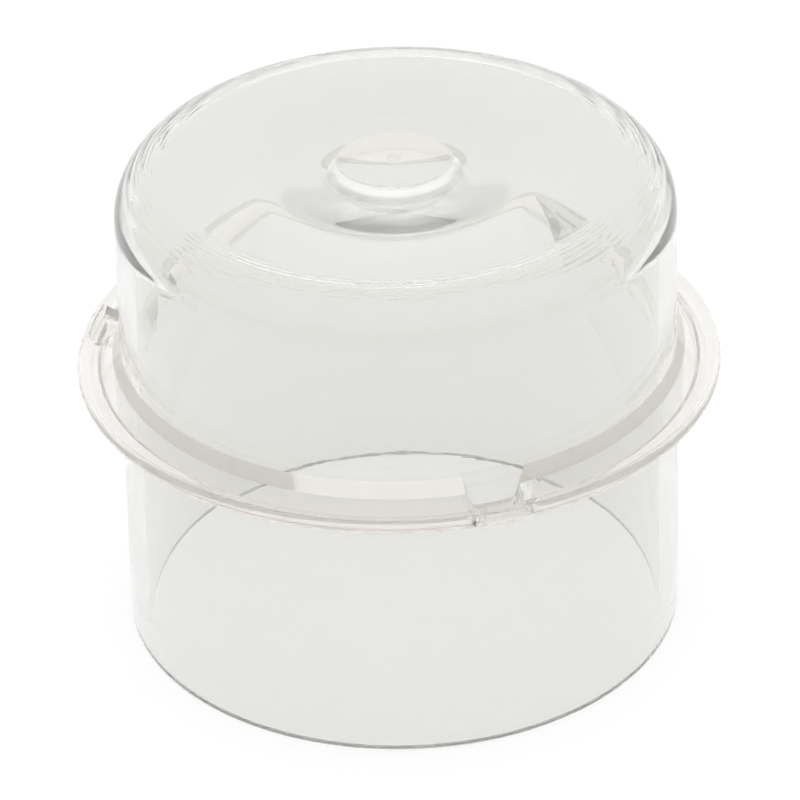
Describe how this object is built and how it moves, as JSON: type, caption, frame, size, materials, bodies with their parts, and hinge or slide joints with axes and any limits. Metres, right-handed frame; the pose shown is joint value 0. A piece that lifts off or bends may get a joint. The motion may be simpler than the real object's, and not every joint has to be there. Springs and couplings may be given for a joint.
{
  "type": "clear measuring cup and lid plug",
  "caption": "Clear drafted cup with a rounded, dished closed end, a small centre boss, and a thin collar with hollow lugs that seats it in a lid.",
  "frame": {"origin": "centre of the open rim, in the plane that the cup stands on", "axes": "+Z along the cup's axis, from the open rim to the closed end; -Y is the side that faces the viewer, with one lug 19 degrees round from it towards +X"},
  "size_m": [0.064, 0.064, 0.0507],
  "materials": {
    "clear_plastic": "clear, polished, very slightly warm"
  },
  "bodies": {
    "root": {"side_wall": "clear_plastic", "closed_end": "clear_plastic", "gate_boss": "clear_plastic", "collar": "clear_plastic", "collar_lug_1": "clear_plastic", "collar_lug_2": "clear_plastic", "collar_lug_3": "clear_plastic"}
  },
  "joints": []
}
